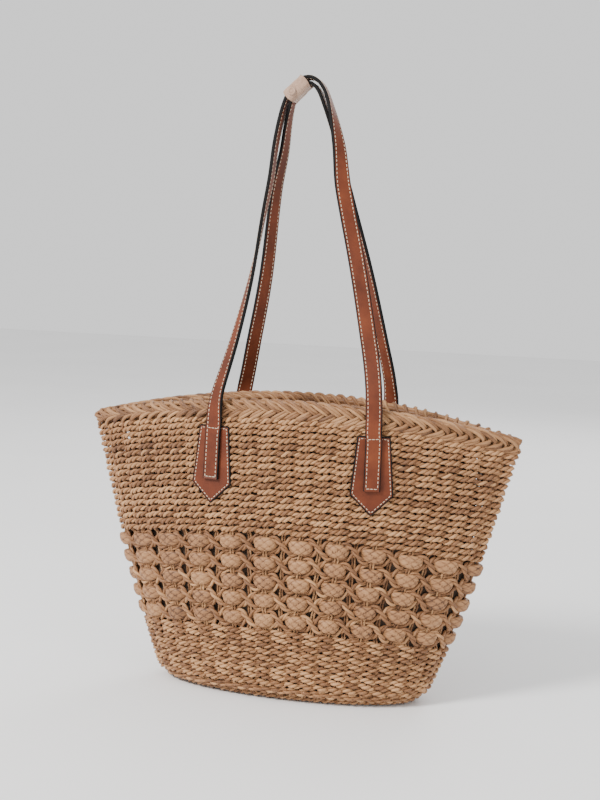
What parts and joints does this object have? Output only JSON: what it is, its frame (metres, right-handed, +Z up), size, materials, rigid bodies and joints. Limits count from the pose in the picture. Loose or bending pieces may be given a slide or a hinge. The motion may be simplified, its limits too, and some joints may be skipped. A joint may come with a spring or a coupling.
{
  "type": "beach bag",
  "caption": "Open woven straw tote with an oval base, arched rim, openwork band and two long leather shoulder handles held together by a suede wrap.",
  "frame": {"origin": "middle of the base, on the floor", "axes": "+X along the mouth, -Y the front, +Z up; the bag stands upright with its handles raised"},
  "size_m": [0.46, 0.118, 0.6365],
  "materials": {
    "straw": "twisted paper straw, matte with a slight sheen",
    "straw_ribbon": "flat plaited paper ribbon, matte",
    "lining": "plain beige cotton weave",
    "board": "stiff grey board",
    "leather": "cognac coated leather with black painted edges and cream stitching",
    "suede": "beige napped suede",
    "snap": "beige covered snap cap"
  },
  "bodies": {
    "bag": {"woven_base": "straw", "bottom_braid": "straw", "lower_twined_wall": "straw", "openwork_cords": "straw", "upper_twined_wall": "straw", "rim_wale": "straw", "rim_braid": "straw", "plaited_ribbon_1": "straw_ribbon", "plaited_ribbon_2": "straw_ribbon", "plaited_ribbon_3": "straw_ribbon", "plaited_ribbon_4": "straw_ribbon", "plaited_ribbon_5": "straw_ribbon", "lining": "lining", "lining_hem": "lining", "slip_pocket": "lining", "base_board": "board", "tab_front_left": "leather", "tab_front_right": "leather", "tab_back_left": "leather", "tab_back_right": "leather", "strap_end_front_left": "leather", "strap_end_front_right": "leather", "strap_end_back_left": "leather", "strap_end_back_right": "leather"},
    "front_handle": {"front_handle_outer_leather": "leather", "front_handle_inner_leather": "leather", "wrap_front": "suede", "snap_cap": "snap"},
    "back_handle": {"back_handle_outer_leather": "leather", "back_handle_inner_leather": "leather", "wrap_back": "suede"}
  },
  "joints": [
    {"name": "front_handle_fold", "type": "hinge", "parent": "bag", "child": "front_handle", "pos_m": [0, -0.0547, 0.279], "axis": [1, 0, 0], "range_deg": [0, 140]},
    {"name": "back_handle_fold", "type": "hinge", "parent": "bag", "child": "back_handle", "pos_m": [0, 0.0547, 0.279], "axis": [-1, 0, 0], "range_deg": [0, 140]}
  ]
}
